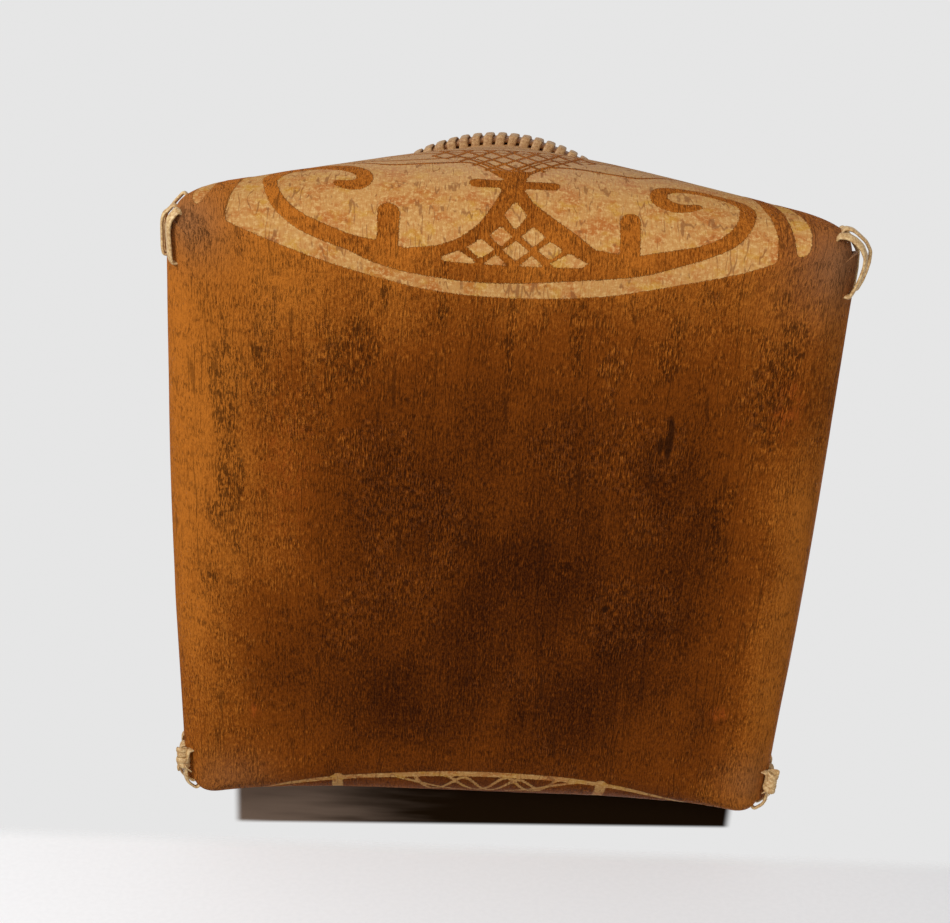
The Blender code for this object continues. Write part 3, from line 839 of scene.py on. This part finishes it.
def seam_root(corner, wall, side, corner_reach, corner_slack, seed, material):
    """One root: level across the tab's edge outside, and slanting up to the next stitch inside."""
    path, across = [], []

    def add(place, height, offset, climb=0):
        point, normal, up, _ = sheet_frame(place, height)
        path.append(point + normal * offset)
        across.append(up * math.cos(climb * side) + np.cross(normal, up) * math.sin(climb * side))

    outside = CLEAR + ROOT_THICK / 2
    inside = -BARK - CLEAR - STITCH_SEAT - ROOT_THICK / 2
    heights = stitch_heights()
    climbs = [math.atan2(after - height, 2 * STITCH_REACH) for height, after in zip(heights, heights[1:])]
    tail = side * ROOT_TAIL / STITCH_REACH / 2
    for number, (height, climb, next_climb) in enumerate(zip(heights, [0] + climbs, climbs + [0])):
        at_corner = number < CORNER_STITCHES
        points, slack, reach = (7, corner_slack, corner_reach) if at_corner else (3, 0, STITCH_REACH)
        flap, tab = stitch_places(wall, side, height, reach)
        lift = float(tab_lift(height))
        if number == 0:
            add(flap + tail * abs(flap - tab), height, inside)
        add(flap, height, inside, climb)
        add(flap, height, outside)
        for i in range(1, points + 1):
            share = i / (points + 1)
            bow = STITCH_SEAT + slack * math.sin(share * math.pi)
            risen = lift * smooth_step(2 * share * (reach + STITCH_REACH) / reach - 1)
            add(flap + (tab - flap) * share, height, outside + risen + bow)
        add(tab, height, outside + lift)
        add(tab, height, inside, next_climb)
    add(tab + tail * abs(flap - tab), height, inside)
    points, sides = rounded(np.array(path), np.array(across), ROOT_BEND)
    swell = smooth_step((heights[CORNER_STITCHES] - 0.002 - points[:, 2]) / 0.004)
    width = ROOT_WIDTH + (CORNER_ROOT_WIDTH - ROOT_WIDTH) * swell
    obj = strip(f"seam_stitching_{corner}", points, sides, width, ROOT_THICK, seed, material)
    return seat(obj, "root", f"seam_root_{corner}")


def knot(corner, wall, side, seed, material):
    """The seam's root wound about itself where it ends, with its last fibres standing out."""
    reach, height = KNOT_AT
    edge = 2 * wall + 1 + side * tab_edge(height)
    place = edge - side * reach / sheet_frame(edge, height)[3]
    point, normal, up, _ = sheet_frame(place, height)
    along = np.cross(up, normal)
    centre = point + normal * (float(tab_lift(height)) + KNOT_ROUND + ROOT_THICK / 3)
    turned = np.linspace(0, KNOT_TURNS * 2 * math.pi, KNOT_TURNS * 16)
    steps = np.stack((turned, 0 * turned, 0 * turned), axis=1)
    radius = KNOT_ROUND * (1 + 0.22 * noise(steps, 2.1, seed))
    shift = KNOT_LONG * (turned / turned[-1] - 0.5) + 0.0007 * noise(steps, 1.7, seed + 1)
    round_it = normal * np.cos(turned)[:, None] + up * np.sin(turned)[:, None]
    path = centre + along * shift[:, None] + round_it * radius[:, None]
    name = f"seam_knot_{corner}"
    seat(strip(name, path, along + 0 * path, KNOT_ROOT_WIDTH, ROOT_THICK, seed, material), "root")
    for number in range(FRAYED_ENDS):
        share = np.linspace(0, 1, 9)[:, None]
        lean = normal * 0.35 + up * (number - 1) * 0.8 + along * side * (0.9 - 0.3 * number)
        ends = centre - normal * 0.0005 + lean * share * FIBRE_LONG - normal * share**2 * FIBRE_DROOP
        ends[:, 2] = np.maximum(ends[:, 2], FIBRE_LOWEST + 0.0008 * share[:, 0])
        width = FIBRE_WIDTH * (1 - 0.6 * share[:, 0])
        name = f"seam_fibre_{corner}_{number + 1}"
        seat(strip(name, ends, up + 0 * ends, width, FIBRE_THICK, seed + number, material), "root")


# Hoops
def hoop_profile(inner, outer):
    """A strip's section with its corners taken off, as (offset, height) once round."""
    cuts = ((0, HOOP_EDGE), (HOOP_EDGE / 3, HOOP_EDGE / 3), (HOOP_EDGE, 0))
    profile = []
    for offset, inwards, height, upwards in (
        (outer, -1, HOOP_FOOT, 1),
        (inner, 1, HOOP_FOOT, 1),
        (inner, 1, HEIGHT, -1),
        (outer, -1, HEIGHT, -1),
    ):
        profile += [(offset + inwards * a, height + upwards * b) for a, b in cuts[:: -inwards * upwards]]
    return np.array(profile)


def hoop(name, inner, thick, scarf_at, seed, material):
    """A split-wood strip bent round the rim, its two ends cut on a slant where they meet."""
    profile = hoop_profile(inner, inner + thick)
    gap = SCARF_CUT / math.sin(SCARF_ANGLE) / RIM_DEEP
    angles = np.linspace(scarf_at + gap / 2, scarf_at + 2 * math.pi - gap / 2, HOOP_RINGS)
    slant = (profile[:, 0] - inner - thick / 2) / math.tan(SCARF_ANGLE) / RIM_DEEP
    turned = angles[:, None] - slant
    straight = around_rim(turned, profile[:, 0], profile[:, 1])
    offset = profile[:, 0] + 0.00012 * noise(straight, 0.012, seed)
    height = profile[:, 1] + 0.00015 * noise(straight, 0.02, seed + 1)
    rings = around_rim(turned, offset, height)
    obj = new_object(name, rings.reshape(-1, 3), tube_faces(HOOP_RINGS, len(profile), True), [material])
    obj.data.set_sharp_from_angle(angle=math.radians(60))
    return obj


# Materials
def srgb(red, green, blue):
    """Linear colour from a printed one."""
    parts = [c / 255 for c in (red, green, blue)]
    return tuple(p / 12.92 if p <= 0.04045 else ((p + 0.055) / 1.055) ** 2.4 for p in parts) + (1,)


RIND_DARK = srgb(50, 17, 0)
RIND_MIDDLE = srgb(122, 60, 9)
RIND_LIGHT = srgb(182, 106, 34)
RIND_TORN = srgb(150, 84, 40)
# The grey of the corners: partly a painted sheen, partly wear
RIND_SHEEN_GREY = srgb(132, 92, 62)
EMBER = srgb(176, 84, 26)
CRACK = srgb(30, 11, 2)
CREAM = srgb(184, 134, 76)
CREAM_PALE = srgb(208, 168, 108)
CREAM_ORANGE = srgb(166, 96, 42)
CREAM_YELLOW = srgb(184, 134, 52)
CREAM_SHEEN = srgb(180, 144, 112)
LINE = srgb(128, 80, 44)


class Value:
    """A number from a material's nodes, for sums written as sums."""

    def __init__(self, finish, socket):
        self.finish = finish
        self.socket = socket

    def __add__(self, other):
        return self.finish.math("ADD", self, other)

    __radd__ = __add__

    def __sub__(self, other):
        return self.finish.math("SUBTRACT", self, other)

    def __rsub__(self, other):
        return self.finish.math("SUBTRACT", other, self)

    def __mul__(self, other):
        return self.finish.math("MULTIPLY", self, other)

    def __truediv__(self, other):
        return self.finish.math("DIVIDE", self, other)

    def __abs__(self):
        return self.finish.math("ABSOLUTE", self)


class Finish:
    """A material whose nodes are added in a few words. Its u and v are places on the surface."""

    def __init__(self, name, roughness, specular=0.5):
        self.material = bpy.data.materials.new(name)
        self.material.use_nodes = True
        self.tree = self.material.node_tree
        self.shader = self.tree.nodes["Principled BSDF"]
        self.shader.inputs["Roughness"].default_value = roughness
        self.shader.inputs["Specular IOR Level"].default_value = specular

    def node(self, kind, **settings):
        made = self.tree.nodes.new(kind)
        for name, value in settings.items():
            setattr(made, name, value)
        return made

    def read(self, kind, output, **settings):
        return Value(self, self.node(kind, **settings).outputs[output])

    def feed(self, socket, value):
        if isinstance(value, Value):
            value = value.socket
        if isinstance(value, bpy.types.NodeSocket):
            self.tree.links.new(value, socket)
        else:
            socket.default_value = value

    def number(self, name):
        return self.read("ShaderNodeAttribute", "Fac", attribute_name=name)

    def math(self, operation, *values):
        made = self.node("ShaderNodeMath", operation=operation)
        for socket, value in zip(made.inputs, values):
            self.feed(socket, value)
        return Value(self, made.outputs[0])

    def most(self, first, *others):
        for other in others:
            first = self.math("MAXIMUM", first, other)
        return first

    def noise(self, place, detail, roughness):
        made = self.node("ShaderNodeTexNoise")
        self.feed(made.inputs["Vector"], place)
        for name, number in (("Scale", 1), ("Detail", detail), ("Roughness", roughness)):
            made.inputs[name].default_value = number
        return Value(self, made.outputs["Fac"])

    def grain(self, wide, long, seed, detail=2, roughness=0.5):
        """Noise whose features have a width and a length on the surface."""
        made = self.node("ShaderNodeCombineXYZ")
        for socket, value in zip(made.inputs, (self.u / wide, self.v / long, seed)):
            self.feed(socket, value)
        return self.noise(made.outputs[0], detail, roughness)

    def ramp(self, value, low, high, start=0.0, end=1.0):
        """From start to end, smoothly, as the value goes from low to high."""
        made = self.node("ShaderNodeMapRange", interpolation_type="SMOOTHSTEP")
        self.feed(made.inputs["Value"], value)
        for name, number in (("From Min", low), ("From Max", high), ("To Min", start), ("To Max", end)):
            self.feed(made.inputs[name], number)
        return Value(self, made.outputs["Result"])

    def mix(self, share, first, second):
        made = self.node("ShaderNodeMix", data_type="RGBA")
        for number, value in ((0, share), (6, first), (7, second)):
            self.feed(made.inputs[number], value)
        return made.outputs[2]

    def bump(self, height, strength, distance):
        made = self.node("ShaderNodeBump")
        made.inputs["Strength"].default_value = strength
        made.inputs["Distance"].default_value = distance * MM
        self.feed(made.inputs["Height"], height)
        self.tree.links.new(made.outputs[0], self.shader.inputs["Normal"])

    def colour(self, value):
        self.feed(self.shader.inputs["Base Color"], value)


def torn_layers(f):
    """(how much of the rind is flaking, steps down through its layers, ragged rims of the steps)."""
    torn = f.number("layers") + f.ramp(f.grain(0.8, 1.7, 4, 3, 0.7), 0.2, 0.8, -0.4, 0.4)
    broken = f.ramp(f.grain(3, 2, 8), 0.46, 0.58)
    steps = sum(f.ramp(torn, edge - 0.04, edge + 0.06) for edge in LAYER_EDGES)
    rims = f.most(*(f.ramp(abs(torn - (edge + 0.07)), 0.03, 0.14, 1, 0) for edge in LAYER_EDGES))
    return f.ramp(torn, -0.6, 0), steps, rims * broken


def slits(f, wide, long, half, seed):
    """Wavering lines along the grain, of about a half width in millimetres, broken into lengths."""
    line = abs(f.grain(wide, long, seed, 1) - 0.5)
    lengths = f.ramp(f.grain(1.6 * wide, 0.35 * long, seed + 0.5), 0.48, 0.58)
    return f.ramp(line, 0.1 * half / wide, 0.3 * half / wide, 1, 0) * lengths


def rind(f):
    """(colour, height) of the brown rind."""
    flaking, steps, rims = torn_layers(f)
    where = f.number("cracked") + f.ramp(f.grain(15, 26, 5), 0.4, 0.75, -0.25, 0.4)
    cracking = f.ramp(where, 0.25, 0.6)
    patches = f.ramp(f.grain(11, 6, 16, 3, 0.65), 0.42, 0.6, 0.25, 0.75)
    busy = f.most(flaking, cracking, patches)

    strokes = f.grain(0.5, 3.2, 14, 2, 0.65)
    dark = f.ramp(strokes, 0.36, 0.48, 1, 0) * busy
    bright = f.ramp(strokes, 0.52, 0.66) * busy
    cracks = slits(f, 1.4, 9, 0.4, 30) * cracking * 0.85
    lines = slits(f, 3.6, 60, 0.2, 33) * 0.6
    marks = f.most(cracks, lines, dark * 0.7, f.ramp(f.number("spot"), -0.6, -0.3, 1, 0))

    broad = f.grain(32, 52, 0, 3)
    streaks = f.grain(1.3, 30, 0, 2, 0.6)
    leather = f.grain(0.7, 1.5, 0, 3, 0.75)
    # The rind's lightness is partly painted light: brighter edges, darker base middle
    light = f.number("patina") + bright * 0.4 + steps * 0.04
    light = light + f.ramp(broad, 0.3, 0.7, -0.1, 0.1) + f.ramp(streaks, 0.3, 0.7, -0.05, 0.05)
    light = light + f.ramp(leather, 0.35, 0.65, -0.13, 0.13)
    glow = f.number("spot") * f.ramp(f.grain(1.8, 5, 15, 3), 0.35, 0.65, 0.5, 1.4)
    colour = RIND_DARK
    for share, coat in (
        (f.ramp(light, -0.2, 0.5), RIND_MIDDLE),
        (f.ramp(light, 0.4, 1), RIND_LIGHT),
        (rims * 0.35, RIND_TORN),
        # grey near the corners: partly a painted sheen, partly wear
        (f.number("worn") * 0.85, RIND_SHEEN_GREY),
        (f.ramp(glow, 0.15, 0.9, 0, 0.6), EMBER),
        (marks * 0.8, CRACK),
    ):
        colour = f.mix(share, colour, coat)
    height = (strokes - 0.5) * busy * 0.8 + leather * 0.5 + steps * 0.16 + streaks * 0.25
    return colour, height - marks * 0.3


def scraped_bark(f):
    """The mottled inner layer that scraping bared, greyer higher up the wall with a painted sheen."""
    colour = CREAM
    for share, coat in (
        (f.ramp(f.grain(9, 7, 9, 2, 0.6), 0.5, 0.66, 0, 0.8), CREAM_YELLOW),
        (f.ramp(f.grain(12, 9, 7, 3, 0.6), 0.46, 0.66, 0, 0.9), CREAM_ORANGE),
        # Greyer higher up the wall: a painted sheen
        (f.ramp(f.number("wall_v"), 34, 70, 0, 0.7), CREAM_SHEEN),
        (f.ramp(f.grain(1.7, 1.5, 1, 4, 0.75), 0.46, 0.66, 0, 0.85), CREAM_PALE),
        (f.ramp(f.grain(0.6, 3.4, 3, 2, 0.6), 0.48, 0.72, 0, 0.55), CREAM_ORANGE),
        (slits(f, 3, 14, 0.4, 40) * 0.7, LINE),
    ):
        colour = f.mix(share, colour, coat)
    return colour


def bark_outside():
    """The rind with its grain along the sheet, and the paler layer where the ornament was scraped."""
    f = Finish("bark_outside", 0.75, 0.04)
    f.u, f.v = f.number("sheet_u"), f.number("sheet_v")
    brown, height = rind(f)
    ragged = f.ramp(f.grain(0.5, 0.8, 2), 0.3, 0.7, -0.22, 0.22)
    bare = f.ramp(f.number("scraped") + ragged, -0.12, 0.12) * (1 - thin_lines(f))
    f.colour(f.mix(bare, brown, scraped_bark(f)))
    f.bump(height * (1.15 - bare), 1, 1)
    return f.material


def thin_lines(f):
    """The fine dark lines higher up: two that dip to the middle, a lattice, and some along the rim."""
    u, v, w = f.number("wall_u"), f.number("wall_v"), f.number("wall_w")

    def line(distance, half):
        return f.ramp(abs(distance), half * 0.6, half * 1.3, 1, 0)

    lines = [line(f.number("low_line"), 0.8), line(f.number("high_line"), 0.9)]
    lines += [line(w - down, half) * 0.75 for down, half in RIM_LINES]
    lean = (1 - f.math("EXPONENT", (LATTICE_FOOT - v) / LATTICE_CLOSING)) * LATTICE_LEAN
    inside = f.ramp(abs(u + 1) - v * 1.1, -50, -49, 1, 0) * f.ramp(v, LATTICE_FOOT - 1, LATTICE_FOOT)
    inside = inside * f.ramp(w, LATTICE_BELOW_RIM - 2, LATTICE_BELOW_RIM)
    inside = inside * f.ramp(abs(u), LATTICE_HALF - 1, LATTICE_HALF, 1, 0)
    across = u / LATTICE_PITCH
    for turned in (across + lean, across - lean):
        lines.append(line(f.math("FRACT", turned) - 0.5, 0.13) * inside)
    return f.most(*lines) * f.ramp(f.number("scraped"), -0.2, 0.2)


def simple_finish(name, first, second, roughness, wide, long, relief=0.4):
    """Two tones mingled in patches of a width and a length in millimetres."""
    f = Finish(name, roughness)
    spread = f.node("ShaderNodeVectorMath", operation="MULTIPLY")
    f.feed(spread.inputs[0], f.read("ShaderNodeTexCoord", "Object"))
    spread.inputs[1].default_value = (1 / MM / wide, 1 / MM / long, 1 / MM / wide)
    tone = f.noise(spread.outputs[0], 4, 0.65)
    f.colour(f.mix(f.ramp(tone, 0.3, 0.7), first, second))
    f.bump(tone, relief, 0.4)
    return f.material


# The stage
def patch(name, corners, fades, reach, shade):
    """A floor seen only from its front and only by the camera, fading out into the background."""
    obj = new_object(name, corners, [(0, 1, 2, 3)], [])
    obj.data.uv_layers.new(name="floor").data.foreach_set("uv", (0, 0, 1, 0, 1, reach, 0, reach))
    f = Finish(name, 0.9, 0)
    split = f.node("ShaderNodeSeparateXYZ")
    f.feed(split.inputs[0], f.read("ShaderNodeTexCoord", "UV"))
    f.u, f.v = (Value(f, socket) for socket in split.outputs[:2])
    behind = f.read("ShaderNodeNewGeometry", "Backfacing")
    cover = f.read("ShaderNodeLightPath", "Is Camera Ray") * (1 - behind)
    for place, fade in zip((f.u, f.v), fades):
        cover = cover * f.ramp(0.5 - abs(place - 0.5), 0, fade)
    f.feed(f.shader.inputs["Alpha"], cover)
    f.colour(shade(f))
    obj.data.materials.append(f.material)


def even_floor(f):
    return f.mix(f.ramp(f.grain(0.004, 0.004, 0), 0.3, 0.7), FLOOR, FLOOR_LIGHT)


def deep_shade(f):
    """Brown where the shade thins out at its left end, and nearly black in the middle."""
    uneven = f.u + f.ramp(f.grain(0.2, 0.1, 0), 0.3, 0.7, -0.05, 0.05)
    return f.mix(f.ramp(uneven, 0.02, 0.42), SHADE_THIN, SHADE)


def square(half_x, low_y, high_y):
    return ((-half_x, low_y), (half_x, low_y), (half_x, high_y), (-half_x, high_y))


def floors():
    """The table that the basket's back rests on in the photograph, and the one that it stands on.

    The first and its shade can't be seen from above the second."""
    lean = (FRONT_WIDE - TABLE_CLEAR - RIM_DEEP) / (HEIGHT - FRONT_FOLD)
    behind = [(x, FRONT_WIDE + TABLE_GAP - (z - FRONT_FOLD) * lean, z) for x, z in square(*TABLE_BEHIND)]
    (left, left_back), (right, right_back) = SHADE_ENDS
    shade = ((left, left_back), (right, right_back), (right, SHADE_INSIDE), (left, SHADE_INSIDE))
    patch("table_behind", behind, (0.1, 0.025), 1, even_floor)
    patch("table_shade", [(x, y, SHADE_HEIGHT) for x, y in shade], (0.02, 0.05), 0.5, deep_shade)
    patch("table_below", [(x, y, 0) for x, y in square(*TABLE_BELOW)], (0.4, 0.4), 1, even_floor)


def lamp(name, at, target, size, power):
    light = bpy.data.lights.new(name, "AREA")
    light.shape = "DISK"
    light.size = size
    light.energy = power
    obj = put(name, light)
    obj.location = at
    obj.rotation_euler = (Vector(target) - Vector(at)).to_track_quat("-Z", "Y").to_euler()


def camera():
    shot = bpy.data.cameras.new("camera")
    shot.sensor_fit = "HORIZONTAL"
    shot.sensor_width = 36
    shot.lens = CAMERA_LENS
    shot.clip_start = 0.01
    obj = put("camera", shot)
    forward, up = Vector(CAMERA_FORWARD).normalized(), Vector(CAMERA_UP).normalized()
    right = forward.cross(up)
    obj.matrix_world = Matrix.Translation(CAMERA_AT) @ Matrix((right, up, -forward)).transposed().to_4x4()
    bpy.context.scene.camera = obj


def world():
    """Soft light from all round, and a plain backdrop where the camera or a gloss looks past the object."""
    scene_world = bpy.data.worlds.new("studio")
    scene_world.use_nodes = True
    nodes, links = scene_world.node_tree.nodes, scene_world.node_tree.links
    nodes.clear()
    paths, seen = nodes.new("ShaderNodeLightPath"), nodes.new("ShaderNodeMath")
    seen.operation = "MAXIMUM"
    links.new(paths.outputs["Is Camera Ray"], seen.inputs[0])
    links.new(paths.outputs["Is Glossy Ray"], seen.inputs[1])
    mix, out = nodes.new("ShaderNodeMixShader"), nodes.new("ShaderNodeOutputWorld")
    links.new(seen.outputs[0], mix.inputs[0])
    for socket, colour in zip(mix.inputs[1:], (AMBIENT, BACKGROUND)):
        light = nodes.new("ShaderNodeBackground")
        light.inputs["Color"].default_value = colour
        links.new(light.outputs[0], socket)
    links.new(mix.outputs[0], out.inputs["Surface"])
    bpy.context.scene.world = scene_world


def main():
    inside = simple_finish("bark_inside", srgb(196, 160, 118), srgb(165, 118, 72), 0.6, 3, 14)
    edge = simple_finish("bark_edge", srgb(168, 118, 70), srgb(110, 66, 34), 0.7, 0.5, 0.5)
    root_skin = simple_finish("root_skin", srgb(216, 184, 130), srgb(162, 118, 66), 0.5, 1, 1, 0.2)
    rim_skin = simple_finish("rim_root_skin", srgb(190, 152, 102), srgb(148, 102, 58), 0.55, 1, 1, 0.2)
    hoop_wood = simple_finish("hoop_wood", srgb(176, 124, 72), srgb(140, 88, 46), 0.5, 2, 2)

    for piece in bark((bark_outside(), inside, edge)):
        seat(piece, "bark", "bark_sheet")
    for number in range(RIM_ROOTS):
        rim_root(number, rim_skin)
    for number, (corner, *form) in enumerate(SEAMS):
        seam_root(corner, *form, 30 + 3 * number, root_skin)
    for number, (corner, wall, side, _, _) in enumerate(SEAMS[:2]):
        knot(corner, wall, side, 60 + 4 * number, root_skin)
    inner = -BARK - HOOP_CLEAR - INNER_HOOP_THICK
    outer_hoop = hoop("hoop_outside", HOOP_CLEAR, OUTER_HOOP_THICK, OUTER_SCARF_AT, 50, hoop_wood)
    inner_hoop = hoop("hoop_inside", inner, INNER_HOOP_THICK, INNER_SCARF_AT, 52, hoop_wood)
    seat(outer_hoop, "hoop", "outer_hoop")
    seat(inner_hoop, "hoop", "inner_hoop")

    camera()
    world()
    floors()
    lamp("key", (-0.75, -0.75, -0.60), (0, 0, 0.05), 0.5, 11.5)
    lamp("front", (0.3, -0.3, -1.1), (0, 0, 0), 0.9, 3.6)
    lamp("fill", (0.5, 0.9, 0.9), (0, 0, 0.07), 0.9, 8)
    bpy.context.scene.view_settings.view_transform = "Standard"


main()
